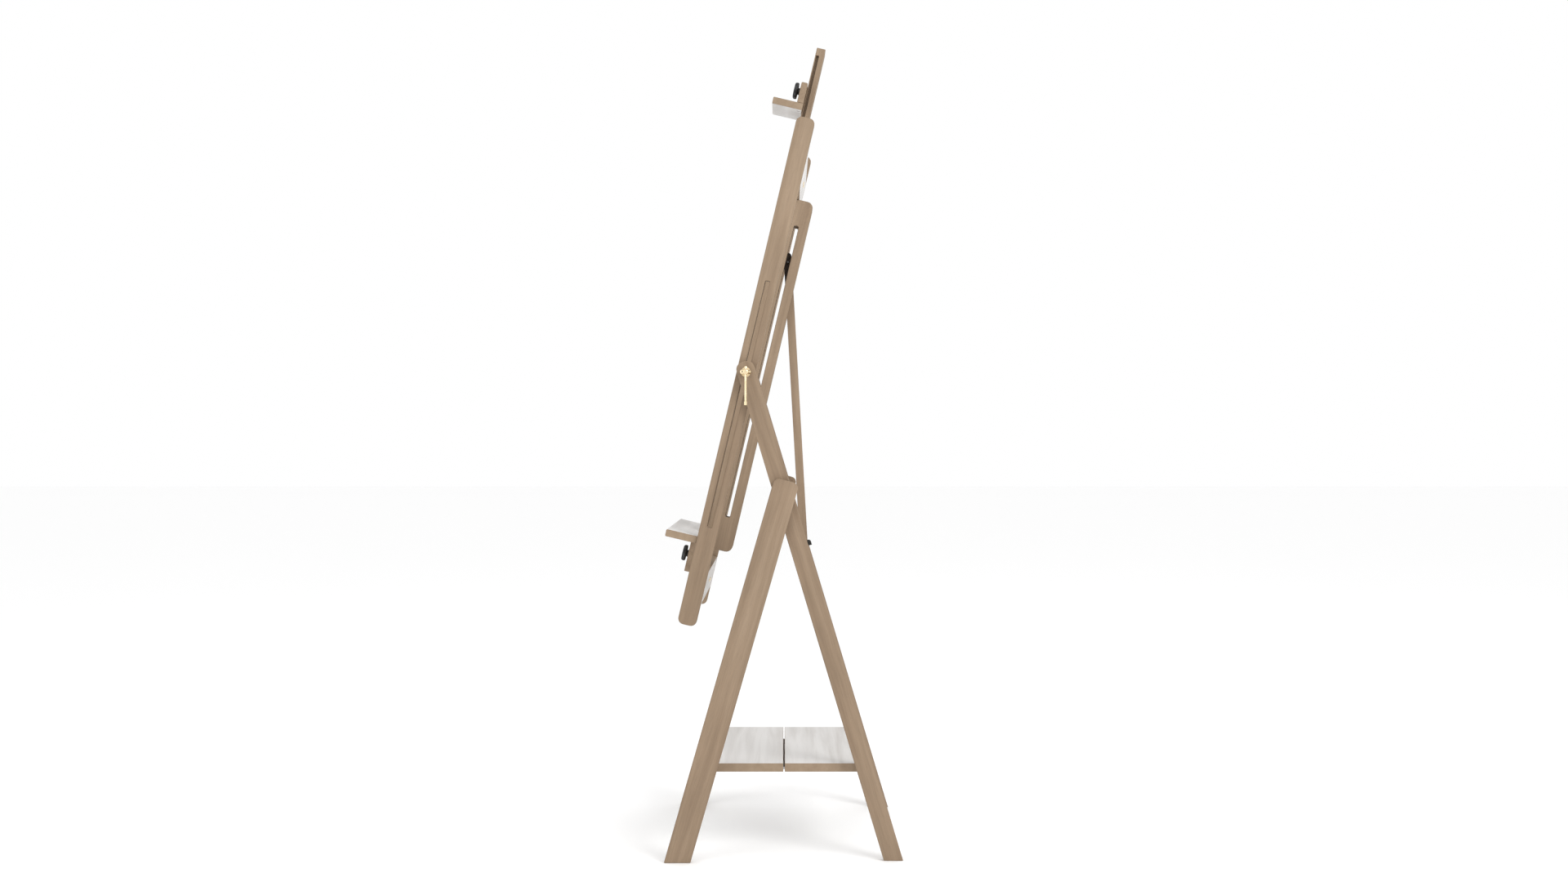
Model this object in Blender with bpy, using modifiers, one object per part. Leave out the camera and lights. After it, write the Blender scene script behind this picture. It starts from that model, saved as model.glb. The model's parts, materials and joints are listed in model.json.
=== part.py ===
"""Convertible studio easel: a folding A base with a shelf, and a painting frame that tilts and slides.

Metres, +Z up. The origin is on the floor at the middle of the footprint. +X is across the easel,
+Y is to the rear and the painter stands on the -Y side.
"""

import math

import bmesh
import bpy
from mathutils import Matrix, Vector

# ---- driving dimensions -------------------------------------------------------------------------
GAP = 0.0003                       # clearance between touching pieces
BOARD = 0.020                      # thickness of every frame board
ARRIS = 0.0012                     # small chamfer on the boards' edges

FRONT_LEG_X = 0.2803               # inner faces of the front legs
LONG_LEG_X = 0.2603                # inner faces of the long legs
RAIL_X = 0.2402                    # inner faces of the side rails
PIVOT = Vector((0, -0.002, 0.860))         # base pivot: front legs on long legs
TILT_AXIS = Vector((0, -0.0895, 1.146))    # clamping bolts of the painting frame
PROP_FOOT = Vector((0, 0.050, 0.720))      # lower hinge of the prop
PROP_TOP = Vector((0, 0.00976, 1.433))     # pin of the prop in the spine's slots
LONG_LEG_LEAN = math.radians(16.75)
FRONT_LEG_LEAN = math.radians(-16.06)
FRAME_LEAN = math.radians(-13.34)

FRONT_LEG_WIDTH = 0.0595
LONG_LEG_WIDTH = 0.0435
FRONT_LEG_ABOVE_PIVOT = 0.033
LONG_LEG_ABOVE_TILT = 0.0255

RAIL_DEPTH = 0.0445                # front to back
RAIL_BOTTOM, RAIL_TOP = -0.612, 0.618      # along the frame, from the tilt axis
RAIL_SLOT = (-0.376, 0.222)
SLOT_WIDTH = 0.012
TOP_CROSS = (0.4603, 0.548)
BOTTOM_CROSS = (-0.560, -0.478)
MAST_HALF_WIDTH = 0.035
MAST_TOP = 0.840
MAST_SLOT = (-0.540, 0.800)
MAST_SLOT_WIDTH = 0.009
MAST_GROOVE_TOP = 0.821
KEEPER_HALF = 0.0090               # square keepers that slide in the channel in the mast's back
KEEPER_FRONT, KEEPER_BACK = -0.0058, -0.0008
KEEPER_PLAY = 0.0006
SPINE_X = (0.010, 0.030)
SPINE_RANGE = (-0.440, 0.460)
SPINE_DEPTH = 0.060
SPINE_SLOT = (-0.355, 0.395)
SPINE_SLOT_MIDDLE = 0.0303

TRAY_HALF_LENGTH = 0.250
TRAY_TOP = -0.403
TRAY_THICK = 0.017
HOLDER_REACH = 0.098               # front edges of the tray and of the clamp lip
HOLDER_HALF_WIDTH = 0.067
TRAY_PLATE = (0.0200, -0.507)      # thickness, lower end
CLAMP_PLATE = (0.0158, 0.741)      # thickness, upper end
CLAMP_LIP_BOTTOM = 0.672
TRAY_KNOB_S = -0.468
CLAMP_KNOB_S = 0.730
KNOB_RADIUS = 0.0215
KNOB_LOBES = 6
KNOB_STEPS_PER_LOBE = 8
KNOB_BEVELS = (0.0012, 0.0018)     # back, front

SHELF_HALF_LENGTH = 0.238
SHELF_BOTTOM = 0.200
SHELF_PIN_Z = 0.210
SHELF_FRONT_PIN_Y = -0.189
SHELF_REAR_PIN_Y = 0.192
SHELF_OVERHANG = 0.012
SHELF_SPLIT = 0.0035
SHELF_HINGE_Z = 0.1967
SHELF_HINGE_HALF = 0.180
SHELF_ROD_RADIUS = 0.006
SHELF_ROD_END = 0.2915             # blind, inside the front legs

WOOD = ("brown_wood", (0.376, 0.270, 0.178, 1), 0.55, 0.0)
WHITE = ("whitewashed_wood", (0.78, 0.77, 0.75, 1), 0.6, 0.0)
BRASS = ("brass", (0.82, 0.66, 0.40, 1), 0.3, 1.0)
STEEL = ("zinc_steel", (0.42, 0.42, 0.43, 1), 0.35, 1.0)
BLACK = ("black_plastic", (0.012, 0.012, 0.013, 1), 0.4, 0.0)


# ---- scene and materials ------------------------------------------------------------------------
for old in list(bpy.data.objects):
    bpy.data.objects.remove(old, do_unlink=True)

parts = bpy.data.collections.new("studio_easel")
cutters = bpy.data.collections.new("cutters")
for group in (parts, cutters):
    bpy.context.scene.collection.children.link(group)


def material(spec):
    """The Principled material of a finish, made once."""
    name, colour, roughness, metallic = spec
    made = bpy.data.materials.get(name)
    if made is None:
        made = bpy.data.materials.new(name)
        made.use_nodes = True
        shader = made.node_tree.nodes["Principled BSDF"]
        shader.inputs["Base Color"].default_value = colour
        shader.inputs["Roughness"].default_value = roughness
        shader.inputs["Metallic"].default_value = metallic
    return made


def axis_empty(name, origin, lean=0.0):
    """A parent whose origin lies on a joint axis and whose Z runs along the leaning piece."""
    empty = bpy.data.objects.new(name, None)
    empty.location = origin
    empty.rotation_euler.x = lean
    parts.objects.link(empty)
    return empty


# ---- mesh helpers -------------------------------------------------------------------------------
def box_mesh(low, high, corner=0.0, along=0, keep=None):
    """A box between two corners. Its edges parallel to one axis are rounded where keep allows."""
    bm = bmesh.new()
    bmesh.ops.create_cube(bm, size=1.0)
    low, high = Vector(low), Vector(high)
    for vert in bm.verts:
        for i in range(3):
            vert.co[i] = low[i] + (vert.co[i] + 0.5) * (high[i] - low[i])
    if corner:
        edges = []
        for edge in bm.edges:
            run = (edge.verts[1].co - edge.verts[0].co).normalized()
            middle = (edge.verts[0].co + edge.verts[1].co) / 2
            if abs(run[along]) > 0.99 and (keep is None or keep(middle)):
                edges.append(edge)
        bmesh.ops.bevel(bm, geom=edges, offset=corner, segments=5, profile=0.5, affect="EDGES")
    return bm


def rod_mesh(start, end, radius, sides=24, end_radius=None):
    """A closed cylinder or cone between two points."""
    start, end = Vector(start), Vector(end)
    run = end - start
    bm = bmesh.new()
    bmesh.ops.create_cone(bm, cap_ends=True, segments=sides, radius1=radius,
                          radius2=radius if end_radius is None else end_radius, depth=run.length)
    turn = Vector((0, 0, 1)).rotation_difference(run).to_matrix().to_4x4()
    bmesh.ops.transform(bm, matrix=Matrix.Translation((start + end) / 2) @ turn, verts=bm.verts)
    return bm


def place(bm, name, parent, collection):
    mesh = bpy.data.meshes.new(name)
    bm.to_mesh(mesh)
    bm.free()
    thing = bpy.data.objects.new(name, mesh)
    thing.parent = parent
    collection.objects.link(thing)
    return thing


def piece(name, bm, parent, finish, arris=0.0):
    """A named part. Its round faces are smooth, and a board may have a small chamfer all round."""
    thing = place(bm, name, parent, parts)
    thing.data.materials.append(material(finish))
    thing.data.shade_smooth()
    thing.data.set_sharp_from_angle(angle=math.radians(35))
    if arris:
        chamfer(thing, arris)
    return thing


def chamfer(thing, width=ARRIS):
    """A small chamfer on the edges made so far. It comes before the holes, which stay sharp."""
    edge = thing.modifiers.new("arris", "BEVEL")
    edge.width = width
    edge.segments = 1
    edge.limit_method = "ANGLE"
    edge.angle_limit = math.radians(50)


def cut(thing, bm, parent=None, operation="DIFFERENCE"):
    """Cut a part, or join to it, with an exact Boolean."""
    tool = place(bm, "cut_" + thing.name, parent or thing.parent, cutters)
    tool.hide_render = True
    tool.display_type = "WIRE"
    step = thing.modifiers.new("cut", "BOOLEAN")
    step.operation = operation
    step.solver = "EXACT"
    step.object = tool
    return thing


def join(thing, bm):
    return cut(thing, bm, operation="UNION")


def side_name(base, side):
    return base + ("_right" if side > 0 else "_left")


def across(side, inner, outer):
    """The lower and upper X of a layer between two distances from the middle."""
    return (inner, outer) if side > 0 else (-outer, -inner)


def x_rod(side, inner, outer, radius, y=0.0, z=0.0, sides=24):
    return rod_mesh((side * inner, y, z), (side * outer, y, z), radius, sides)


# ---- base: rear frame ---------------------------------------------------------------------------
long_axis = axis_empty("long_leg_axis", PIVOT, LONG_LEG_LEAN)
front_axis = axis_empty("front_leg_axis", PIVOT, FRONT_LEG_LEAN)
world_axis = axis_empty("floor_axis", (0, 0, 0))

FLOOR_CUT = ((-0.4, -0.5, -0.2), (0.4, 0.5, 0.0))
LEG_RUN = PIVOT.z / math.cos(LONG_LEG_LEAN) + 0.03
PROP_RAIL = (-0.221, -0.165)       # lower and upper edge, along the long leg from the pivot
PROP_RAIL_HALF_THICK = 0.010
OVER = 0.010                       # how far a cutter runs past the face it opens
PIVOT_BOLT_RADIUS = 0.004
PIVOT_BOLT_END = 0.2935            # blind, inside the front leg
PIVOT_HEAD_RADIUS = 0.008          # sunk in the long leg's inner face
PIVOT_HEAD_THICK = 0.005
TILT_BOLT_RADIUS = 0.005
REAR_PIN_RADIUS = 0.005
REAR_PIN_END = 0.272


def in_frame_of(axis, point):
    """A world point in an empty's coordinates."""
    turn = Matrix.Rotation(-axis.rotation_euler.x, 3, "X")
    return turn @ (Vector(point) - axis.location)


def leg(name, side, parent, inner, width, top, corner):
    """A leg board: rounded at its top, and cut level with the floor."""
    x0, x1 = across(side, inner, inner + BOARD - GAP)
    bm = box_mesh((x0, -width / 2, -LEG_RUN), (x1, width / 2, top), corner, 0, lambda p: p.z > 0)
    thing = piece(name, bm, parent, WOOD)
    cut(thing, box_mesh(*FLOOR_CUT), world_axis)
    chamfer(thing)
    return thing


def rear_frame():
    rear_pin = in_frame_of(long_axis, (0, SHELF_REAR_PIN_Y, SHELF_PIN_Z))
    tilt = in_frame_of(long_axis, TILT_AXIS)
    half = LONG_LEG_X - GAP
    piece("prop_rail", box_mesh((-half, -PROP_RAIL_HALF_THICK, PROP_RAIL[0]),
                                (half, PROP_RAIL_HALF_THICK, PROP_RAIL[1])), long_axis, WOOD, ARRIS)
    inside, outside = LONG_LEG_X - OVER, LONG_LEG_X + BOARD + OVER
    head_end = LONG_LEG_X + PIVOT_HEAD_THICK
    for side in (1, -1):
        board = leg(side_name("long_leg", side), side, long_axis, LONG_LEG_X, LONG_LEG_WIDTH,
                    tilt.z + LONG_LEG_ABOVE_TILT, 0.018)
        cut(board, x_rod(side, inside, outside, PIVOT_BOLT_RADIUS + GAP))
        cut(board, x_rod(side, inside, head_end + GAP, PIVOT_HEAD_RADIUS + GAP))
        cut(board, x_rod(side, inside, outside, TILT_BOLT_RADIUS + GAP, tilt.y, tilt.z))
        cut(board, x_rod(side, inside, REAR_PIN_END + GAP, REAR_PIN_RADIUS + GAP, rear_pin.y, rear_pin.z))
        bolt = piece(side_name("base_pivot_bolt", side), x_rod(side, LONG_LEG_X, head_end, PIVOT_HEAD_RADIUS),
                     long_axis, STEEL)
        join(bolt, x_rod(side, head_end - 0.001, PIVOT_BOLT_END, PIVOT_BOLT_RADIUS))
        piece(side_name("rear_shelf_pin", side),
              x_rod(side, SHELF_HALF_LENGTH + GAP, REAR_PIN_END, REAR_PIN_RADIUS, rear_pin.y, rear_pin.z),
              long_axis, STEEL)


BRACKET_HALF = 0.013               # outer faces of the ears
BRACKET_INNER = 0.0106             # inner faces of the ears
BRACKET_FOOT = 0.0022              # thickness of the foot on the rail
BRACKET_FRONT = -0.009
BRACKET_TOP = -0.138
BRACKET_BACK = 0.030               # the ears reach out behind the legs, the foot does not
BRACKET_FOOT_BACK = 0.0205
BRACKET_EAR_BOTTOM = -0.151
BRACKET_CORNER = 0.006
HINGE_PIN_RADIUS = 0.003
HINGE_PIN_HEAD = 0.005
HINGE_PIN_HALF = 0.0155
BRACKET_SCREW = Vector((0.005, 0.001))
SMALL_SCREW_RADIUS = 0.0015
SMALL_SCREW_HEAD = 0.003
SMALL_SCREW_HOLE = 0.0018


def prop_bracket():
    """A steel channel on the prop rail's upper edge, with the prop's hinge pin across it."""
    base = PROP_RAIL[1] + GAP
    pin = in_frame_of(long_axis, PROP_FOOT)
    foot_top = base + BRACKET_FOOT
    channel = piece("prop_bracket", box_mesh((-BRACKET_HALF, BRACKET_FRONT, base),
                                             (BRACKET_HALF, BRACKET_BACK, BRACKET_TOP), BRACKET_CORNER, 0,
                                             lambda p: p.z > BRACKET_EAR_BOTTOM), long_axis, STEEL)
    cut(channel, box_mesh((-BRACKET_INNER, BRACKET_FRONT - OVER, foot_top),
                          (BRACKET_INNER, BRACKET_BACK + OVER, 0.0)))
    cut(channel, box_mesh((-BRACKET_HALF - OVER, BRACKET_FOOT_BACK, base - OVER),
                          (BRACKET_HALF + OVER, BRACKET_BACK + OVER, BRACKET_EAR_BOTTOM)))
    reach = BRACKET_HALF + OVER
    cut(channel, rod_mesh((-reach, pin.y, pin.z), (reach, pin.y, pin.z), HINGE_PIN_RADIUS + GAP))
    rod = piece("prop_hinge_pin", rod_mesh((-HINGE_PIN_HALF, pin.y, pin.z), (HINGE_PIN_HALF, pin.y, pin.z),
                                           HINGE_PIN_RADIUS), long_axis, STEEL)
    for side in (1, -1):
        join(rod, x_rod(side, BRACKET_HALF + GAP, HINGE_PIN_HALF, HINGE_PIN_HEAD, pin.y, pin.z))
    for side in (1, -1):
        x, y = side * BRACKET_SCREW.x, BRACKET_SCREW.y
        screw = piece(side_name("prop_bracket_screw", side),
                      rod_mesh((x, y, base - 0.014), (x, y, foot_top + 0.001), SMALL_SCREW_RADIUS, 12),
                      long_axis, STEEL)
        join(screw, rod_mesh((x, y, foot_top + GAP), (x, y, foot_top + 0.002), SMALL_SCREW_HEAD, 12))
        for holder in (channel, bpy.data.objects["prop_rail"]):
            cut(holder, rod_mesh((x, y, base - 0.0145), (x, y, foot_top + OVER), SMALL_SCREW_HOLE, 12))


# ---- base: front legs and shelf -----------------------------------------------------------------
def front_legs():
    pin = in_frame_of(front_axis, (0, SHELF_FRONT_PIN_Y, SHELF_PIN_Z))
    for side in (1, -1):
        board = leg(side_name("front_leg", side), side, front_axis, FRONT_LEG_X, FRONT_LEG_WIDTH,
                    FRONT_LEG_ABOVE_PIVOT, 0.014)
        inside = FRONT_LEG_X - OVER
        cut(board, x_rod(side, inside, PIVOT_BOLT_END + GAP, PIVOT_BOLT_RADIUS + GAP))
        cut(board, x_rod(side, inside, SHELF_ROD_END + GAP, SHELF_ROD_RADIUS + GAP, pin.y, pin.z))
    piece("shelf_rod", rod_mesh((-SHELF_ROD_END, pin.y, pin.z), (SHELF_ROD_END, pin.y, pin.z),
                                SHELF_ROD_RADIUS), front_axis, STEEL)


HINGE_LEAF = (0.1982, 0.1997)      # lower and upper face of the hinge leaves
HINGE_KNUCKLES = 5
HINGE_BARREL = 0.003
HINGE_REACH = 0.024
HINGE_SCREW_X = 0.110
HINGE_SCREW_Y = 0.014
HINGE_SCREW_Z = (0.1971, 0.211)    # underside of the head, tip of the shank
HINGE_HEAD_THICK = 0.0008
HINGE_EDGE = (0.0010, 0.0036, 0.0060)      # knuckle tabs start, leaves start, tabs end
HINGE_WIRE_RADIUS = 0.0013
SHELF_ARRIS = 0.0008


def knuckle_spans(first):
    """The X spans of every second knuckle, starting at the first or at the second."""
    step = 2 * SHELF_HINGE_HALF / HINGE_KNUCKLES
    for i in range(first, HINGE_KNUCKLES, 2):
        start = -SHELF_HINGE_HALF + i * step
        yield start + GAP, start + step - GAP


def shelf_half(side, board_name, leaf_name, screw_name, axis, pin_y, first):
    """One shelf board, its hinge leaf and screws. Side is -1 for the front board, 1 for the rear one."""
    ys = sorted((side * SHELF_SPLIT / 2, pin_y + side * SHELF_OVERHANG))
    board = piece(board_name, box_mesh((-SHELF_HALF_LENGTH, ys[0], SHELF_BOTTOM),
                                       (SHELF_HALF_LENGTH, ys[1], SHELF_BOTTOM + BOARD)),
                  axis, WHITE, SHELF_ARRIS)
    board.location = -axis.location
    leaf_ys = sorted((side * HINGE_EDGE[1], side * HINGE_REACH))
    leaf = piece(leaf_name, box_mesh((-SHELF_HINGE_HALF, leaf_ys[0], HINGE_LEAF[0]),
                                     (SHELF_HINGE_HALF, leaf_ys[1], HINGE_LEAF[1])), axis, STEEL)
    leaf.location = -axis.location
    for x0, x1 in knuckle_spans(first):
        tab_ys = sorted((side * HINGE_EDGE[0], side * HINGE_EDGE[2]))
        join_at(leaf, box_mesh((x0, tab_ys[0], HINGE_LEAF[0]), (x1, tab_ys[1], HINGE_LEAF[1])))
        join_at(leaf, rod_mesh((x0, 0, SHELF_HINGE_Z), (x1, 0, SHELF_HINGE_Z), HINGE_BARREL, 16))
    reach = SHELF_HINGE_HALF + OVER
    cut_at(leaf, rod_mesh((-reach, 0, SHELF_HINGE_Z), (reach, 0, SHELF_HINGE_Z), HINGE_WIRE_RADIUS + GAP, 12))
    y = side * HINGE_SCREW_Y
    under, tip = HINGE_SCREW_Z
    for end in (1, -1):
        x = end * HINGE_SCREW_X
        screw = piece(side_name(screw_name, end),
                      rod_mesh((x, y, under + 0.0005), (x, y, tip), SMALL_SCREW_RADIUS, 12), axis, STEEL)
        screw.location = -axis.location
        join_at(screw, rod_mesh((x, y, under), (x, y, under + HINGE_HEAD_THICK), SMALL_SCREW_HEAD, 12))
        for holder in (board, leaf):
            cut_at(holder, rod_mesh((x, y, under - OVER), (x, y, tip + GAP), SMALL_SCREW_HOLE, 12))
    return board


def cut_at(thing, bm, operation="DIFFERENCE"):
    """A cut whose mesh is in world coordinates, for pieces on an upright axis empty."""
    cut(thing, bm, world_axis, operation)


def join_at(thing, bm):
    cut_at(thing, bm, "UNION")


def shelf():
    front_pin = axis_empty("shelf_front_axis", (0, SHELF_FRONT_PIN_Y, SHELF_PIN_Z))
    middle_pin = axis_empty("shelf_hinge_axis", (0, 0, SHELF_HINGE_Z))
    board = shelf_half(-1, "shelf_board_front", "shelf_hinge_leaf_front", "shelf_hinge_screw_front",
                       front_pin, SHELF_FRONT_PIN_Y, 0)
    reach = SHELF_HALF_LENGTH + OVER
    cut_at(board, rod_mesh((-reach, SHELF_FRONT_PIN_Y, SHELF_PIN_Z), (reach, SHELF_FRONT_PIN_Y, SHELF_PIN_Z),
                           SHELF_ROD_RADIUS + GAP))
    shelf_half(1, "shelf_board_rear", "shelf_hinge_leaf_rear", "shelf_hinge_screw_rear", middle_pin,
               SHELF_REAR_PIN_Y, 1)
    piece("shelf_hinge_pin", rod_mesh((-SHELF_HINGE_HALF, 0, 0), (SHELF_HINGE_HALF, 0, 0),
                                      HINGE_WIRE_RADIUS, 12),
          middle_pin, STEEL)


# ---- clamping handles at the tilt axis ----------------------------------------------------------
TILT_HEAD_X = (0.2355, 0.2399)     # square-headed bolt, its head inside the side rail
TILT_HEAD_RADIUS = 0.011
TILT_BOLT_END = 0.2955
WASHER_X = (0.2803, 0.2820)
WASHER_RADIUS = 0.0115
HUB_X = (0.2825, 0.3060)
LOBE_X = (0.2860, 0.3030)
HUB_RADIUS = 0.0075
LOBE_RADIUS = 0.0054
LOBE_OFFSET = 0.0080
BAR_X = 0.3000
BAR_RADIUS = 0.0028
BAR_TOP, BAR_BOTTOM = 0.0080, -0.0740
BAR_CAP_TOP = 0.0125
BAR_CAP_RADII = (0.0043, 0.0030)
BAR_END_HALF = 0.004               # the fatter bottom end, half its length
BAR_END_RADIUS = 0.0038


def clamping_handles():
    tilt = axis_empty("tilt_axis", TILT_AXIS)
    for side in (1, -1):
        bolt = piece(side_name("tilt_bolt", side), x_rod(side, *TILT_HEAD_X, TILT_HEAD_RADIUS), tilt, STEEL)
        join(bolt, x_rod(side, TILT_HEAD_X[1] - 0.002, TILT_BOLT_END, TILT_BOLT_RADIUS))
        washer = piece(side_name("tilt_washer", side), x_rod(side, *WASHER_X, WASHER_RADIUS), tilt, BRASS)
        cut(washer, x_rod(side, WASHER_X[0] - OVER, WASHER_X[1] + OVER, TILT_BOLT_RADIUS + GAP))
        hub = piece(side_name("handle_hub", side), x_rod(side, *HUB_X, HUB_RADIUS), tilt, BRASS)
        for lobe in (1, -1):
            join(hub, x_rod(side, *LOBE_X, LOBE_RADIUS, lobe * LOBE_OFFSET, 0.0))
        cut(hub, x_rod(side, HUB_X[0] - OVER, TILT_BOLT_END + 0.0005, TILT_BOLT_RADIUS + GAP))
        x = side * BAR_X
        cut(hub, rod_mesh((x, 0, -2 * HUB_RADIUS), (x, 0, 2 * HUB_RADIUS), BAR_RADIUS + GAP))
        bar = piece(side_name("tommy_bar", side), rod_mesh((x, 0, BAR_BOTTOM), (x, 0, BAR_TOP), BAR_RADIUS),
                    tilt, BRASS)
        join(bar, rod_mesh((x, 0, HUB_RADIUS + GAP), (x, 0, BAR_CAP_TOP), BAR_CAP_RADII[0],
                           end_radius=BAR_CAP_RADII[1]))
        join(bar, rod_mesh((x, 0, BAR_BOTTOM - BAR_END_HALF), (x, 0, BAR_BOTTOM + BAR_END_HALF),
                           BAR_END_RADIUS))


# ---- painting frame: local Y runs backwards, local Z up along the frame -------------------------
frame_axis = axis_empty("frame_axis", TILT_AXIS, FRAME_LEAN)
FRONT = -RAIL_DEPTH / 2
BACK = RAIL_DEPTH / 2
MAST_BACK = -0.00015
RAIL_CORNER = 0.014
SPINE_CORNER = 0.016
MAST_GROOVE = (0.0022, 0.0102)     # behind the mast's front face
MAST_GROOVE_DEPTH = 0.012
DOWEL_RADIUS = 0.005
DOWEL_X = (0.226, 0.2545)
DOWEL_Y = 0.011
CROSS_SCREW_X = 0.022
CROSS_SCREW_TIP = -0.010
CROSS_SCREW_RADIUS = 0.002
CROSS_SCREW_HEAD = (0.0045, 0.003, 0.0022)     # radii of a pan head, and its thickness
SCREW_PLAY = 0.0003


def slot_mesh(x0, x1, middle, span, width):
    """A long slot across X with slightly rounded ends."""
    return box_mesh((x0, middle - width / 2, span[0]), (x1, middle + width / 2, span[1]), width * 0.3, 0)


def painting_frame():
    crosses = {}
    for name, span in (("top_cross", TOP_CROSS), ("bottom_cross", BOTTOM_CROSS)):
        rail = piece(name + "_rail", box_mesh((-0.2399, -MAST_BACK, span[0]), (0.2399, BACK, span[1])),
                     frame_axis, WHITE, ARRIS)
        crosses[name] = (rail, sum(span) / 2)
    for side in (1, -1):
        x0, x1 = across(side, RAIL_X, RAIL_X + BOARD - 0.0002)
        rail = piece(side_name("side_rail", side),
                     box_mesh((x0, FRONT, RAIL_BOTTOM), (x1, BACK, RAIL_TOP), RAIL_CORNER, 0), frame_axis,
                     WOOD)
        cut(rail, slot_mesh(x0 - OVER, x1 + OVER, 0.0, RAIL_SLOT, SLOT_WIDTH))
        chamfer(rail)
        for name, (cross, z) in crosses.items():
            piece(side_name(name + "_dowel", side), x_rod(side, *DOWEL_X, DOWEL_RADIUS, DOWEL_Y, z, 16),
                  frame_axis, WOOD)
            hole = x_rod(side, DOWEL_X[0] - GAP, DOWEL_X[1] + GAP, DOWEL_RADIUS + GAP, DOWEL_Y, z, 16)
            cut(rail, hole.copy())
            cut(cross, hole)
    mast_and_spine(crosses)


def mast_and_spine(crosses):
    mast = piece("mast", box_mesh((-MAST_HALF_WIDTH, FRONT, BOTTOM_CROSS[0]),
                                  (MAST_HALF_WIDTH, MAST_BACK, MAST_TOP)), frame_axis, WOOD, ARRIS)
    low, high = MAST_SLOT
    cut(mast, box_mesh((-MAST_SLOT_WIDTH / 2, FRONT - OVER, low), (MAST_SLOT_WIDTH / 2, OVER, high)))
    channel = KEEPER_HALF + KEEPER_PLAY
    cut(mast, box_mesh((-channel, KEEPER_FRONT - KEEPER_PLAY, low), (channel, OVER, high)))
    groove_front, groove_back = FRONT + MAST_GROOVE[0], FRONT + MAST_GROOVE[1]
    for side in (1, -1):
        x0, x1 = across(side, MAST_HALF_WIDTH - MAST_GROOVE_DEPTH, MAST_HALF_WIDTH + OVER)
        cut(mast, box_mesh((x0, groove_front, BOTTOM_CROSS[0] - OVER), (x1, groove_back, MAST_GROOVE_TOP)))
        x0, x1 = across(side, *SPINE_X)
        spine = piece(side_name("spine_board", side),
                      box_mesh((x0, -MAST_BACK, SPINE_RANGE[0]), (x1, SPINE_DEPTH, SPINE_RANGE[1]),
                               SPINE_CORNER, 0, lambda p: p.y > SPINE_SLOT_MIDDLE), frame_axis, WOOD)
        cut(spine, slot_mesh(x0 - OVER, x1 + OVER, SPINE_SLOT_MIDDLE, SPINE_SLOT, SLOT_WIDTH))
        chamfer(spine)
        for name, (cross, z) in crosses.items():
            x = side * CROSS_SCREW_X
            wide, narrow, thick = CROSS_SCREW_HEAD
            screw = piece(side_name(name + "_screw", side),
                          rod_mesh((x, CROSS_SCREW_TIP, z), (x, BACK + thick / 2, z), CROSS_SCREW_RADIUS, 12),
                          frame_axis, BRASS)
            join(screw, rod_mesh((x, BACK + GAP, z), (x, BACK + thick, z), wide, 16, end_radius=narrow))
            hole = rod_mesh((x, CROSS_SCREW_TIP - SCREW_PLAY, z), (x, BACK + OVER, z),
                            CROSS_SCREW_RADIUS + SCREW_PLAY, 12)
            cut(cross, hole.copy())
            cut(mast, hole)


# ---- canvas tray and top clamp ------------------------------------------------------------------
HOLDER_BACK = FRONT - GAP
BOLT_RADIUS = 0.004
BOLT_IN_KNOB = 0.009               # how far the bolt's end stands in front of the plate
KNOB_HUB_RADIUS = 0.010
KNOB_HUB_THICK = 0.0060
KNOB_THICK = 0.011
HOLDER_ARRIS = 0.0008
HOLDER_CORNER = 0.003
HOLDER_SCREW_X = 0.045
HOLDER_SCREW_LENGTH = 0.039
HOLDER_SCREW_RADIUS = 0.002
HOLDER_SCREW_HEAD = 0.0042
HOLDER_HEAD_SPAN = (0.0004, 0.0021)        # below the board's face


def knob_outline(radius, step, steps):
    """A point of the lobed outline of a star knob."""
    angle = 2 * math.pi * step / steps
    reach = radius * (0.93 + 0.07 * math.cos(KNOB_LOBES * angle))
    return reach * math.cos(angle), reach * math.sin(angle)


def knob_mesh(front, back):
    """The lobed head of a knob, bevelled front and back, with its turning axis along local Y."""
    steps = KNOB_LOBES * KNOB_STEPS_PER_LOBE
    bm = bmesh.new()
    rings = []
    back_bevel, front_bevel = KNOB_BEVELS
    for y, scale in ((back, 0.93), (back - back_bevel, 1.0), (front + front_bevel, 1.0), (front, 0.90)):
        ring = []
        for step in range(steps):
            x, z = knob_outline(KNOB_RADIUS * scale, step, steps)
            ring.append(bm.verts.new((x, y, z)))
        rings.append(ring)
    for low, high in zip(rings, rings[1:]):
        for i in range(steps):
            j = (i + 1) % steps
            bm.faces.new((low[i], low[j], high[j], high[i]))
    bm.faces.new(rings[0][::-1])
    bm.faces.new(rings[-1])
    bmesh.ops.recalc_face_normals(bm, faces=bm.faces)
    return bm


def lifted(bm, s):
    """The same mesh moved up along the frame."""
    bmesh.ops.translate(bm, vec=(0, 0, s), verts=bm.verts)
    return bm


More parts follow.
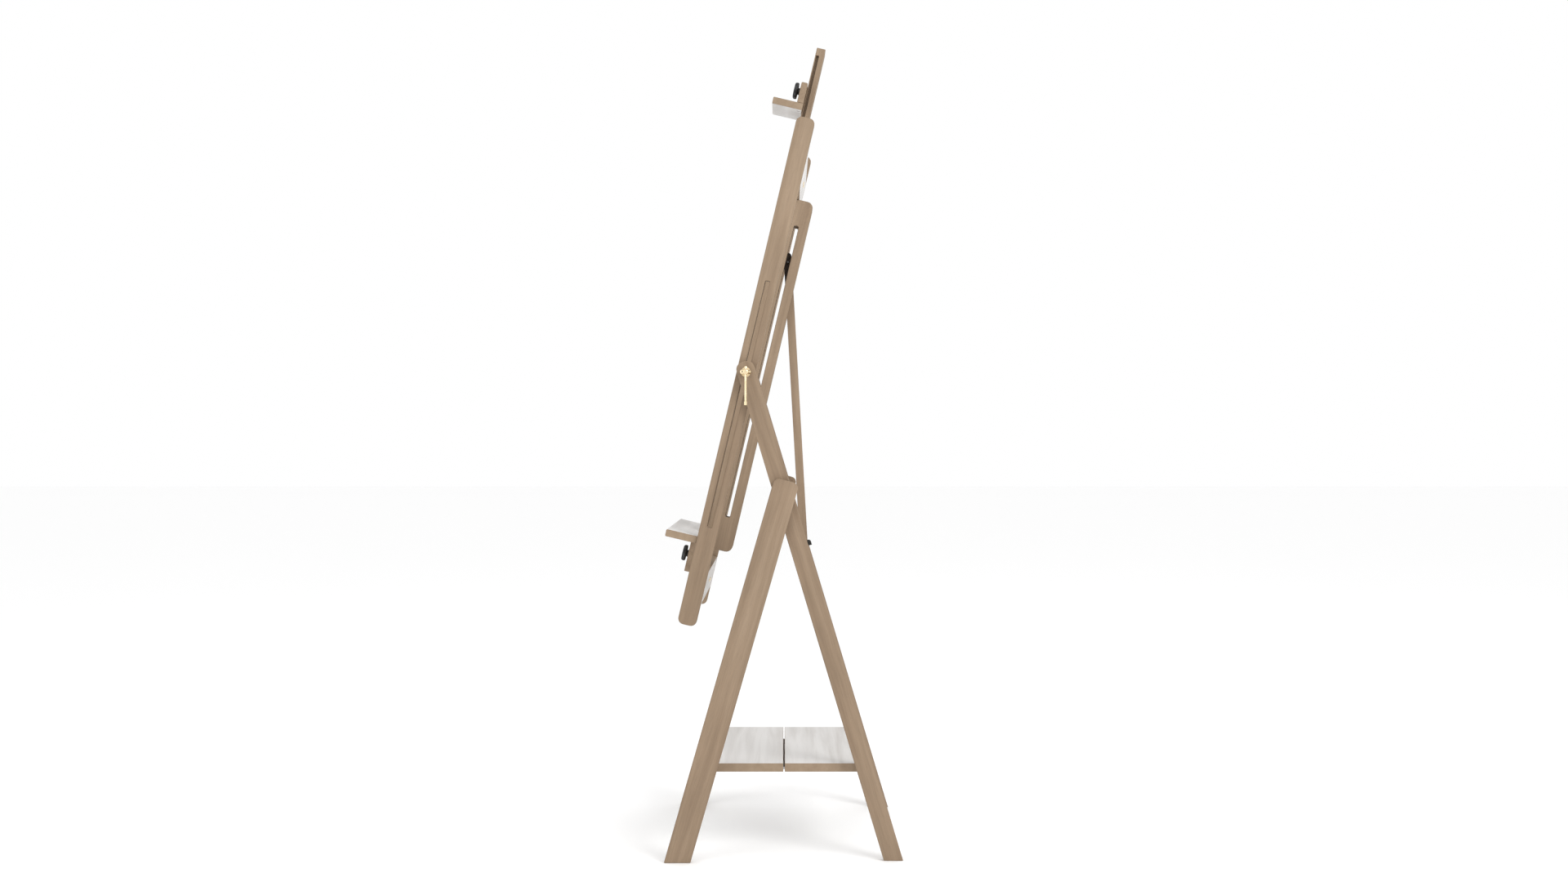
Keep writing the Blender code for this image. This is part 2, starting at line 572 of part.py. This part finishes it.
def clamp_bolt_and_knob(kind, plate, plate_front, s):
    """The bolt with its square keeper in the mast's channel, and the knob in front of the plate."""
    bolt = piece(kind + "_bolt", box_mesh((-KEEPER_HALF, KEEPER_FRONT, s - KEEPER_HALF),
                                          (KEEPER_HALF, KEEPER_BACK, s + KEEPER_HALF)), frame_axis, STEEL)
    bolt_end = plate_front - BOLT_IN_KNOB
    join(bolt, rod_mesh((0, KEEPER_FRONT / 2, s), (0, bolt_end, s), BOLT_RADIUS))
    cut(plate, rod_mesh((0, 0.0, s), (0, plate_front - OVER, s), BOLT_RADIUS + GAP))
    hub_front = plate_front - KNOB_HUB_THICK
    knob = piece(kind + "_knob", lifted(knob_mesh(hub_front - KNOB_THICK, hub_front), s), frame_axis, BLACK)
    join(knob, rod_mesh((0, plate_front - GAP, s), (0, hub_front - 0.002, s), KNOB_HUB_RADIUS))
    cut(knob, rod_mesh((0, 0.0, s), (0, bolt_end - GAP, s), BOLT_RADIUS + GAP))


def holder_screws(name, board, plate, outside, inward):
    """Two countersunk screws through the board's outer face into the plate, inward being 1 for up."""
    y = HOLDER_BACK - CLAMP_PLATE[0] / 2
    head_top, head_under = (outside + inward * depth for depth in HOLDER_HEAD_SPAN)
    above = outside - inward * OVER
    tip = outside + inward * HOLDER_SCREW_LENGTH
    for side in (1, -1):
        x = side * HOLDER_SCREW_X
        screw = piece(side_name(name, side),
                      rod_mesh((x, y, outside + inward * 0.001), (x, y, tip), HOLDER_SCREW_RADIUS, 12),
                      frame_axis, STEEL)
        join(screw, rod_mesh((x, y, head_top), (x, y, head_under), HOLDER_SCREW_HEAD, 16))
        cut(board, rod_mesh((x, y, above), (x, y, head_under + inward * GAP), HOLDER_SCREW_HEAD + GAP, 16))
        hole = rod_mesh((x, y, above), (x, y, tip + inward * GAP), HOLDER_SCREW_RADIUS + SCREW_PLAY, 12)
        cut(board, hole.copy())
        cut(plate, hole)


def tray():
    board = piece("tray_board", box_mesh((-TRAY_HALF_LENGTH, -HOLDER_REACH, TRAY_TOP - TRAY_THICK),
                                         (TRAY_HALF_LENGTH, HOLDER_BACK, TRAY_TOP), HOLDER_CORNER, 0,
                                         lambda p: p.y < -HOLDER_REACH / 2), frame_axis, WHITE, HOLDER_ARRIS)
    plate_front = HOLDER_BACK - TRAY_PLATE[0]
    plate_top = TRAY_TOP - TRAY_THICK - GAP
    plate = piece("tray_plate", box_mesh((-HOLDER_HALF_WIDTH, plate_front, TRAY_PLATE[1]),
                                         (HOLDER_HALF_WIDTH, HOLDER_BACK, plate_top)),
                  frame_axis, WOOD, ARRIS)
    clamp_bolt_and_knob("tray", plate, plate_front, TRAY_KNOB_S)
    holder_screws("tray_screw", board, plate, TRAY_TOP, -1)


def top_clamp():
    lip_top = CLAMP_LIP_BOTTOM + TRAY_THICK
    lip = piece("clamp_lip", box_mesh((-HOLDER_HALF_WIDTH, -HOLDER_REACH, CLAMP_LIP_BOTTOM),
                                      (HOLDER_HALF_WIDTH, HOLDER_BACK, lip_top), HOLDER_CORNER, 0,
                                      lambda p: p.y < -HOLDER_REACH / 2), frame_axis, WHITE, HOLDER_ARRIS)
    plate_front = HOLDER_BACK - CLAMP_PLATE[0]
    plate = piece("clamp_plate", box_mesh((-HOLDER_HALF_WIDTH, plate_front, lip_top + GAP),
                                          (HOLDER_HALF_WIDTH, HOLDER_BACK, CLAMP_PLATE[1]), HOLDER_CORNER,
                                          0, lambda p: p.z > CLAMP_KNOB_S), frame_axis, WOOD, ARRIS)
    clamp_bolt_and_knob("clamp", plate, plate_front, CLAMP_KNOB_S)
    holder_screws("clamp_screw", lip, plate, CLAMP_LIP_BOTTOM, 1)


# ---- prop ---------------------------------------------------------------------------------------
PROP_HALF = 0.0097                 # half its thickness, between the spine boards
PROP_HALF_DEPTH = 0.010
PROP_CORNER = 0.0085
PROP_PIN_HALF = 0.028
PROP_ABOVE_PIN = 0.025
PROP_PIN_RADIUS = 0.0025


def prop():
    run = PROP_TOP - PROP_FOOT
    axis = axis_empty("prop_axis", PROP_FOOT, math.atan2(-run.y, run.z))
    stick = piece("prop", box_mesh((-PROP_HALF, -PROP_HALF_DEPTH, -PROP_HALF_DEPTH),
                                   (PROP_HALF, PROP_HALF_DEPTH, run.length + PROP_ABOVE_PIN), PROP_CORNER, 0),
                  axis, WOOD)
    reach = PROP_HALF + OVER
    cut(stick, rod_mesh((-reach, 0, 0), (reach, 0, 0), HINGE_PIN_RADIUS + GAP))
    cut(stick, rod_mesh((-reach, 0, run.length), (reach, 0, run.length), PROP_PIN_RADIUS + GAP))
    piece("prop_top_pin", rod_mesh((-PROP_PIN_HALF, 0, run.length), (PROP_PIN_HALF, 0, run.length),
                                   PROP_PIN_RADIUS), axis, STEEL)


rear_frame()
prop_bracket()
front_legs()
shelf()
clamping_handles()
painting_frame()
tray()
top_clamp()
prop()
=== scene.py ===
import json
import math

import bmesh
import bpy
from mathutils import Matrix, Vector


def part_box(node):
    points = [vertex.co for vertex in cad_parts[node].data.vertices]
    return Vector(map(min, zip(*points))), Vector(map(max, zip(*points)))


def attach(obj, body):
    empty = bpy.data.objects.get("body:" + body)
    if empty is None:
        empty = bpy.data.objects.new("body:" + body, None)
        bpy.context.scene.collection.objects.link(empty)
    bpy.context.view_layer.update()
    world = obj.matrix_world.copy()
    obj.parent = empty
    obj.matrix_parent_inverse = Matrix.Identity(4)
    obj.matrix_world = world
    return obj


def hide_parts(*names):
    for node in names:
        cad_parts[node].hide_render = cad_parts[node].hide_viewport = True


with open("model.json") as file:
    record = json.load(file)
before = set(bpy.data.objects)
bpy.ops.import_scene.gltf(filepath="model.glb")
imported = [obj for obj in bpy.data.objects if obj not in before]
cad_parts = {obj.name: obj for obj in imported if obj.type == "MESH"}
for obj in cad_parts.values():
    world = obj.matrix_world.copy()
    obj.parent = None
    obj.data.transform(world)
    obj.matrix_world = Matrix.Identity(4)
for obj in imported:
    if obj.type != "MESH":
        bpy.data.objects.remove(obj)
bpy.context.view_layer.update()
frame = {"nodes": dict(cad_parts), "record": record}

# ---- camera: a level view from the easel's right side ---------------------------------------------
CAMERA_DISTANCE = 3.968
CAMERA_HEIGHT = 0.9845
LENS = 36.11                       # mm
SENSOR = 36.0                      # mm

scene = bpy.context.scene
camera_data = bpy.data.cameras.new("camera")
camera_data.lens = LENS
camera_data.sensor_width = SENSOR
camera = bpy.data.objects.new("camera", camera_data)
camera.location = (CAMERA_DISTANCE, 0.0, CAMERA_HEIGHT)
camera.rotation_euler = (math.radians(90), 0.0, math.radians(90))
scene.collection.objects.link(camera)
scene.camera = camera
scene.view_settings.view_transform = "Standard"

# ---- sizes read from the frame ----------------------------------------------------------------------
JOINTS = {joint["name"]: joint for joint in frame["record"]["behaviour"]["joints"]}
FRAME_UP = Vector(JOINTS["frame_slide"]["axis"])
FRAME_BACK = Vector((0.0, FRAME_UP.z, -FRAME_UP.y))


def lean_of(direction):
    """The turn about X that brings +Z onto a direction in the YZ plane."""
    return math.atan2(-direction.y, direction.z)


FRAME_LEAN = lean_of(FRAME_UP)
LONG_LEG_LEAN = math.radians(16.75)        # the leans that the legs have in the CAD
FRONT_LEG_LEAN = math.radians(-16.06)
PROP_FOOT = Vector(JOINTS["prop_swing"]["pos_m"])
PROP_TOP = sum((Vector(corner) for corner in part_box("prop_top_pin")), Vector()) / 2
PROP_LEAN = lean_of(PROP_TOP - PROP_FOOT)
PAINTED_SHADE_BELOW_PIN = 0.048          # the prop's upper end is painted near black from here up, as painted shade for the dark gap between the spine boards


# ---- node helpers -----------------------------------------------------------------------------------
class Tree:
    """Short calls for building a material's nodes."""

    def __init__(self, name):
        self.material = bpy.data.materials.new(name)
        self.material.use_nodes = True
        self.nodes = self.material.node_tree.nodes
        self.links = self.material.node_tree.links
        self.shader = self.nodes["Principled BSDF"]

    def add(self, kind, **values):
        node = self.nodes.new(kind)
        for key, value in values.items():
            setattr(node, key, value)
        return node

    def link(self, source, target):
        self.links.new(source, target)

    def position(self, lean, scale, offset=(0.0, 0.0, 0.0)):
        """Object coordinates turned into a board's own directions, and stretched."""
        coordinates = self.add("ShaderNodeTexCoord")
        turn = self.add("ShaderNodeMapping", vector_type="POINT")
        turn.inputs["Rotation"].default_value = (-lean, 0.0, 0.0)
        self.link(coordinates.outputs["Object"], turn.inputs["Vector"])
        stretch = self.add("ShaderNodeMapping", vector_type="POINT")
        stretch.inputs["Scale"].default_value = scale
        stretch.inputs["Location"].default_value = offset
        self.link(turn.outputs["Vector"], stretch.inputs["Vector"])
        return stretch.outputs["Vector"]

    def noise(self, vector, scale, detail=4.0, roughness=0.55, distortion=0.0):
        node = self.add("ShaderNodeTexNoise")
        node.inputs["Scale"].default_value = scale
        node.inputs["Detail"].default_value = detail
        node.inputs["Roughness"].default_value = roughness
        node.inputs["Distortion"].default_value = distortion
        self.link(vector, node.inputs["Vector"])
        return node.outputs["Fac"]

    def ramp(self, value, stops):
        node = self.add("ShaderNodeValToRGB")
        elements = node.color_ramp.elements
        while len(elements) < len(stops):
            elements.new(0.5)
        for element, (place, colour) in zip(elements, stops):
            element.position = place
            element.color = (*colour, 1.0)
        self.link(value, node.inputs["Fac"])
        return node.outputs["Color"]

    def mix(self, kind, factor, first, second):
        node = self.add("ShaderNodeMix", data_type="RGBA", blend_type=kind)
        for socket, value in ((node.inputs["Factor"], factor), (node.inputs["A"], first),
                              (node.inputs["B"], second)):
            if isinstance(value, bpy.types.NodeSocket):
                self.link(value, socket)
            else:
                socket.default_value = value
        return [s for s in node.outputs if s.type == "RGBA"][0]

    def levels(self, value, low, high, new_low, new_high):
        node = self.add("ShaderNodeMapRange")
        for key, number in (("From Min", low), ("From Max", high), ("To Min", new_low), ("To Max", new_high)):
            node.inputs[key].default_value = number
        self.link(value, node.inputs["Value"])
        return node.outputs["Result"]

    def bump(self, height, distance, strength, base=None):
        node = self.add("ShaderNodeBump")
        node.inputs["Distance"].default_value = distance
        node.inputs["Strength"].default_value = strength
        self.link(height, node.inputs["Height"])
        if base is not None:
            self.link(base, node.inputs["Normal"])
        return node.outputs["Normal"]


# ---- materials --------------------------------------------------------------------------------------
BROWN_DARK = (0.205, 0.143, 0.092)
BROWN_MIDDLE = (0.252, 0.181, 0.119)
BROWN_LIGHT = (0.300, 0.221, 0.150)
PORE = (0.110, 0.072, 0.044)
# near-black colour that is painted shade on the prop's top, where it sits in the shaded gap between the spine
# boards
PAINTED_SLOT_SHADE = (0.028, 0.015, 0.008)
GRAIN_BANDS, GRAIN_FIBRES, GRAIN_PORES, PATCHES = 38.0, 420.0, 900.0, 5.0      # noise scales
WOOD_SPECULAR = 0.35


PAINTED_SHADE_EDGE = 0.003                 # the height over which the painted shade fades in


def brown_wood(name, lean, along, seed, painted_shade_above=None):
    """Oiled brown wood. Long soft bands, fine fibres and short dark pores follow the board."""
    tree = Tree(name)
    stretch = {"Z": (1.0, 1.0, 0.045), "X": (0.045, 1.0, 1.0)}[along]
    offset = (seed * 1.7, seed * 2.3, seed * 0.9)
    grain = tree.position(lean, stretch, offset)
    bands = tree.noise(grain, GRAIN_BANDS, 3.0, 0.5, 0.6)
    fibres = tree.noise(grain, GRAIN_FIBRES, 3.0, 0.6)
    pores = tree.noise(grain, GRAIN_PORES, 2.0, 0.5)
    patches = tree.noise(tree.position(lean, (1.0, 1.0, 1.0), offset), PATCHES, 2.0, 0.5)
    colour = tree.ramp(bands, ((0.28, BROWN_DARK), (0.50, BROWN_MIDDLE), (0.74, BROWN_LIGHT)))
    fine = tree.ramp(fibres, ((0.30, (0.40, 0.40, 0.40)), (0.70, (0.60, 0.60, 0.60))))
    colour = tree.mix("OVERLAY", 0.40, colour, fine)
    shade = tree.ramp(patches, ((0.3, (0.44, 0.43, 0.42)), (0.7, (0.56, 0.55, 0.55))))
    colour = tree.mix("OVERLAY", 0.5, colour, shade)
    pore_amount = tree.levels(pores, 0.62, 0.74, 0.0, 0.30)
    colour = tree.mix("MIX", pore_amount, colour, (*PORE, 1.0))
    # Above the given height the wood is painted near black: painted shade for the prop's top in the gap
    # between the spine boards.
    if painted_shade_above is not None:
        split = tree.add("ShaderNodeSeparateXYZ")
        tree.link(tree.position(0.0, (1.0, 1.0, 1.0)), split.inputs["Vector"])
        painted_shade_mask = tree.levels(split.outputs["Z"], painted_shade_above, painted_shade_above + PAINTED_SHADE_EDGE, 0.0, 1.0)
        colour = tree.mix("MIX", painted_shade_mask, colour, (*PAINTED_SLOT_SHADE, 1.0))
    tree.link(colour, tree.shader.inputs["Base Color"])
    tree.link(tree.levels(fibres, 0.3, 0.7, 0.50, 0.66), tree.shader.inputs["Roughness"])
    normal = tree.bump(fibres, 0.0003, 0.25)
    normal = tree.bump(pores, 0.0004, 0.20, normal)
    tree.link(normal, tree.shader.inputs["Normal"])
    tree.shader.inputs["Specular IOR Level"].default_value = WOOD_SPECULAR
    return tree.material


WASH_BANDS, WASH_FIBRES = 30.0, 360.0
WASH_LOW = (0.520, 0.500, 0.480)
WASH_HIGH = (0.680, 0.668, 0.655)


def whitewashed_wood(name, lean, along, seed, end_axis):
    """White wash over brown wood. The broad faces are washed, and the ends and edges stay brown."""
    tree = Tree(name)
    stretch = {"Z": (1.0, 1.0, 0.06), "X": (0.06, 1.0, 1.0)}[along]
    offset = (seed * 1.1, seed * 0.7, seed * 1.9)
    grain = tree.position(lean, stretch, offset)
    bands = tree.noise(grain, WASH_BANDS, 4.0, 0.55, 0.4)
    fibres = tree.noise(grain, WASH_FIBRES, 3.0, 0.6)
    washed = tree.ramp(bands, ((0.25, WASH_LOW), (0.60, WASH_HIGH)))
    fine = tree.ramp(fibres, ((0.30, (0.46, 0.46, 0.46)), (0.70, (0.54, 0.54, 0.54))))
    washed = tree.mix("OVERLAY", 0.3, washed, fine)
    brown = tree.ramp(tree.noise(grain, 60.0, 3.0), ((0.3, BROWN_MIDDLE), (0.7, BROWN_LIGHT)))
    geometry = tree.add("ShaderNodeNewGeometry")
    local = tree.add("ShaderNodeVectorTransform", vector_type="NORMAL", convert_from="WORLD",
                     convert_to="OBJECT")
    tree.link(geometry.outputs["True Normal"], local.inputs["Vector"])
    turn = tree.add("ShaderNodeMapping", vector_type="POINT")
    turn.inputs["Rotation"].default_value = (-lean, 0.0, 0.0)
    tree.link(local.outputs["Vector"], turn.inputs["Vector"])
    split = tree.add("ShaderNodeSeparateXYZ")
    tree.link(turn.outputs["Vector"], split.inputs["Vector"])
    size = tree.add("ShaderNodeMath", operation="ABSOLUTE")
    tree.link(split.outputs[end_axis], size.inputs[0])
    broad = tree.levels(size.outputs["Value"], 0.75, 0.80, 0.0, 1.0)
    tree.link(tree.mix("MIX", broad, brown, washed), tree.shader.inputs["Base Color"])
    tree.link(tree.levels(fibres, 0.3, 0.7, 0.55, 0.70), tree.shader.inputs["Roughness"])
    tree.link(tree.bump(fibres, 0.0002, 0.10), tree.shader.inputs["Normal"])
    tree.shader.inputs["Specular IOR Level"].default_value = WOOD_SPECULAR
    return tree.material


def metal(name, low, high, roughness, scratch_scale, wear):
    """A metal whose colour and roughness vary a little, with fine scratches."""
    tree = Tree(name)
    where = tree.position(0.0, (1.0, 1.0, 1.0))
    clouds = tree.noise(where, 60.0, 3.0)
    scratches = tree.noise(tree.position(0.0, (0.15, 1.0, 1.0)), scratch_scale, 3.0, 0.6)
    tree.link(tree.ramp(clouds, ((0.3, low), (0.7, high))), tree.shader.inputs["Base Color"])
    tree.link(tree.levels(scratches, 0.3, 0.7, roughness - wear, roughness + wear),
              tree.shader.inputs["Roughness"])
    tree.link(tree.bump(scratches, 0.0002, 0.12), tree.shader.inputs["Normal"])
    tree.shader.inputs["Metallic"].default_value = 1.0
    return tree.material


def black_plastic():
    """Moulded black plastic with a fine spark texture."""
    tree = Tree("black_plastic_finish")
    where = tree.position(0.0, (1.0, 1.0, 1.0))
    texture = tree.noise(where, 900.0, 2.0)
    clouds = tree.noise(where, 40.0, 2.0)
    tree.link(tree.ramp(clouds, ((0.3, (0.010, 0.010, 0.011)), (0.7, (0.020, 0.020, 0.021)))),
              tree.shader.inputs["Base Color"])
    tree.link(tree.levels(texture, 0.3, 0.7, 0.32, 0.48), tree.shader.inputs["Roughness"])
    tree.link(tree.bump(texture, 0.0002, 0.3), tree.shader.inputs["Normal"])
    return tree.material


BRASS = metal("brass_finish", (0.78, 0.62, 0.38), (0.90, 0.76, 0.52), 0.27, 500.0, 0.07)
STEEL = metal("steel_finish", (0.38, 0.38, 0.39), (0.52, 0.52, 0.52), 0.36, 600.0, 0.09)
# Dark steel. On the prop's top pin it also stands for painted shade in the gap between the spine boards.
DARK_STEEL_AND_SHADE = metal("dark_steel_finish", (0.050, 0.048, 0.045), (0.085, 0.082, 0.078), 0.42, 600.0, 0.08)
BLACK = black_plastic()

# Each board: its lean, the direction of its grain and, for a washed board, the axis of its broad faces.
BOARDS = {
    "front_leg": (FRONT_LEG_LEAN, "Z", None),
    "long_leg": (LONG_LEG_LEAN, "Z", None),
    "prop_rail": (LONG_LEG_LEAN, "X", None),
    "side_rail": (FRAME_LEAN, "Z", None),
    "mast": (FRAME_LEAN, "Z", None),
    "spine_board": (FRAME_LEAN, "Z", None),
    "top_cross_dowel": (FRAME_LEAN, "X", None),
    "bottom_cross_dowel": (FRAME_LEAN, "X", None),
    "tray_plate": (FRAME_LEAN, "X", None),
    "clamp_plate": (FRAME_LEAN, "X", None),
    "prop": (PROP_LEAN, "Z", None),
    "top_cross_rail": (FRAME_LEAN, "X", "Y"),
    "bottom_cross_rail": (FRAME_LEAN, "X", "Y"),
    "tray_board": (FRAME_LEAN, "X", "Z"),
    "clamp_lip": (FRAME_LEAN, "X", "Z"),
    "shelf_board_front": (0.0, "X", "Z"),
    "shelf_board_rear": (0.0, "X", "Z"),
}


def board_finish(node, seed):
    """The wood of one board, with its own stretch of grain."""
    base = node.replace("_left", "").replace("_right", "")
    lean, along, broad = BOARDS[base]
    if broad:
        return whitewashed_wood("finish_" + node, lean, along, seed, broad)
    # The prop's top end gets painted shade where it sits between the spine boards.
    painted_shade_above = PROP_TOP.z - PAINTED_SHADE_BELOW_PIN if node == "prop" else None
    return brown_wood("finish_" + node, lean, along, seed, painted_shade_above)


def dress_nodes():
    """Every solid gets the finish that its record slot names."""
    slots = {entry["node"]: entry["material_slot"] for entry in frame["record"]["subparts"]}
    plain = {"brass": BRASS, "zinc_steel": STEEL, "black_plastic": BLACK, "dark_steel": DARK_STEEL_AND_SHADE}
    # The prop's top pin gets dark steel as painted shade for the shaded gap between the spine boards where it
    # rides. The bracket and the hinge pin get dark steel as well.
    for node in ("prop_top_pin", "prop_bracket", "prop_hinge_pin"):
        slots[node] = "dark_steel"
    for seed, node in enumerate(sorted(slots), 1):
        thing = frame["nodes"][node]
        finish = plain.get(slots[node]) or board_finish(node, seed)
        thing.data.materials.clear()
        thing.data.materials.append(finish)


# ---- knobs and brass handles ----------------------------------------------------------------------
def frame_of(axis):
    """Two directions across an axis, for turning a profile about it."""
    side = Vector((1, 0, 0)) if abs(axis.x) < 0.5 else Vector((0, 0, 1))
    side = (side - axis * side.dot(axis)).normalized()
    return side, axis.cross(side)


def turned(bm, start, axis, profile, steps=64, outline=None, slot=0):
    """A closed turned body. The profile is (distance along the axis, radius, how much outline shows)."""
    side, other = frame_of(axis)
    rings = []
    for along, radius, shown in profile:
        ring = []
        for step in range(steps):
            angle = 2 * math.pi * step / steps
            reach = radius * (1.0 + shown * (outline(angle) - 1.0)) if outline else radius
            ring.append(bm.verts.new(start + axis * along + side * (reach * math.cos(angle))
                                     + other * (reach * math.sin(angle))))
        rings.append(ring)
    for low, high in zip(rings, rings[1:]):
        for i in range(steps):
            j = (i + 1) % steps
            bm.faces.new((low[i], low[j], high[j], high[i])).material_index = slot
    bm.faces.new(rings[0][::-1]).material_index = slot
    bm.faces.new(rings[-1]).material_index = slot


def smooth_piece(name, bm, materials, body, slot, *nodes):
    """A piece that stands for CAD nodes and rides on their body."""
    bmesh.ops.recalc_face_normals(bm, faces=bm.faces)
    mesh = bpy.data.meshes.new(name)
    bm.to_mesh(mesh)
    bm.free()
    for material in materials:
        mesh.materials.append(material)
    mesh.shade_smooth()
    mesh.set_sharp_from_angle(angle=math.radians(42))
    thing = bpy.data.objects.new(name, mesh)
    scene.collection.objects.link(thing)
    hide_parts(*nodes)
    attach(thing, body)


def span_along(node, axis):
    """The lowest and highest reach of a node's mesh along a direction."""
    reaches = [vert.co.dot(axis) for vert in frame["nodes"][node].data.vertices]
    return min(reaches), max(reaches)


KNOB_LOBES = 6
KNOB_STEPS = 144
LOBE_MEAN, LOBE_SWING = 0.92, 0.08         # the outline's radius, as a share of the profile's
# From the plate outwards: a stepped hub, then the rounded lobed head with a dished front.
KNOB_PROFILE = ((0.0003, 0.0090, 0.0), (0.0007, 0.0098, 0.0), (0.0030, 0.0100, 0.0), (0.0034, 0.0085, 0.0),
                (0.0058, 0.0085, 0.0), (0.0061, 0.0150, 0.6), (0.0066, 0.0196, 1.0), (0.0078, 0.0211, 1.0),
                (0.0095, 0.0215, 1.0), (0.0125, 0.0214, 1.0), (0.0146, 0.0207, 1.0), (0.0160, 0.0192, 0.9),
                (0.0168, 0.0165, 0.6), (0.0170, 0.0130, 0.2), (0.0166, 0.0105, 0.0), (0.0163, 0.0060, 0.0))


def lobes(angle):
    """The lobed outline of a star knob."""
    return LOBE_MEAN + LOBE_SWING * math.cos(KNOB_LOBES * angle)


def knob(node, body, joint):
    """A moulded knob on the plate, turning on its joint's axis."""
    plate_side = span_along(node, FRAME_BACK)[1]
    centre = Vector(JOINTS[joint]["pos_m"])
    start = centre + FRAME_BACK * (plate_side - centre.dot(FRAME_BACK))
    bm = bmesh.new()
    turned(bm, start, -FRAME_BACK, KNOB_PROFILE, KNOB_STEPS, lobes)
    smooth_piece(node + "_moulded", bm, (BLACK,), body, "black_plastic", node)


# Profiles start at the hub's inner face and run outwards.
HUB_PROFILE = ((0.0000, 0.0068, 0), (0.0006, 0.0075, 0), (0.0060, 0.0075, 0), (0.0068, 0.0066, 0),
               (0.0215, 0.0062, 0), (0.0228, 0.0054, 0), (0.0234, 0.0040, 0))
ROUND_LOBE = ((0.0040, 0.0040, 0), (0.0046, 0.0050, 0), (0.0056, 0.0054, 0), (0.0188, 0.0054, 0),
              (0.0200, 0.0050, 0), (0.0206, 0.0040, 0))
CONE_LOBE = ((0.0040, 0.0046, 0), (0.0048, 0.0053, 0), (0.0120, 0.0048, 0), (0.0185, 0.0030, 0),
             (0.0200, 0.0020, 0))
DOT = ((0.0200, 0.0012, 0), (0.02085, 0.0012, 0))
LOBE_OFFSET = 0.0080


def hub(side, name):
    """A cast brass hub with a round lobe in front and a cone behind. Side is 1 for the right."""
    centre = Vector(JOINTS["handle_turn_" + name]["pos_m"])
    outward = Vector((side, 0, 0))
    inner_face = span_along("handle_hub_" + name, outward)[0]
    start = centre + outward * (inner_face - centre.dot(outward))
    front, back = Vector((0, -LOBE_OFFSET, 0)), Vector((0, LOBE_OFFSET, 0))
    bm = bmesh.new()
    turned(bm, start, outward, HUB_PROFILE)
    turned(bm, start + front, outward, ROUND_LOBE)
    turned(bm, start + back, outward, CONE_LOBE)
    turned(bm, start + front, outward, DOT, steps=24, slot=1)
    smooth_piece("handle_hub_%s_cast" % name, bm, (BRASS, DARK_STEEL_AND_SHADE), "handle_" + name, "brass",
                 "handle_hub_" + name)


def dress_fittings():
    knob("tray_knob", "tray_knob", "tray_knob_turn")
    knob("clamp_knob", "clamp_knob", "clamp_knob_turn")
    hub(1, "right")
    hub(-1, "left")


# ---- light and floor --------------------------------------------------------------------------------
def area_light(name, place, size, power):
    """A soft round light that faces the easel."""
    data = bpy.data.lights.new(name, "AREA")
    data.shape = "DISK"
    data.size = size
    data.energy = power
    lamp = bpy.data.objects.new(name, data)
    lamp.location = place
    aim = Vector(LIGHT_TARGET) - Vector(place)
    lamp.rotation_euler = aim.to_track_quat("-Z", "Y").to_euler()
    scene.collection.objects.link(lamp)


FLOOR_HALF = 30.0
FLOOR_BELOW_FEET = 0.0005
WHITE = (1.0, 1.0, 1.0, 1.0)
FLOOR_COLOUR = (0.98, 0.98, 0.98, 1.0)
LIGHT_TARGET = (0.0, 0.0, 1.0)
KEY_PLACE, KEY_SIZE, KEY_POWER = (3.2, 2.6, 3.2), 2.2, 90.0
FILL_PLACE, FILL_SIZE, FILL_POWER = (3.0, -3.2, 2.0), 2.5, 30.0


def studio():
    """A white world, a pale floor, a key light to the rear right and a fill to the front right."""
    world = bpy.data.worlds.new("studio")
    world.use_nodes = True
    background = world.node_tree.nodes["Background"]
    background.inputs["Color"].default_value = WHITE
    background.inputs["Strength"].default_value = 1.0
    scene.world = world
    mesh = bpy.data.meshes.new("floor")
    bm = bmesh.new()
    bmesh.ops.create_grid(bm, x_segments=1, y_segments=1, size=FLOOR_HALF)
    bm.to_mesh(mesh)
    bm.free()
    floor = bpy.data.objects.new("floor", mesh)
    floor.location.z = -FLOOR_BELOW_FEET
    scene.collection.objects.link(floor)
    tree = Tree("floor_finish")
    tree.shader.inputs["Base Color"].default_value = FLOOR_COLOUR
    tree.shader.inputs["Roughness"].default_value = 0.9
    mesh.materials.append(tree.material)
    area_light("key", KEY_PLACE, KEY_SIZE, KEY_POWER)
    area_light("fill", FILL_PLACE, FILL_SIZE, FILL_POWER)


dress_nodes()
dress_fittings()
studio()
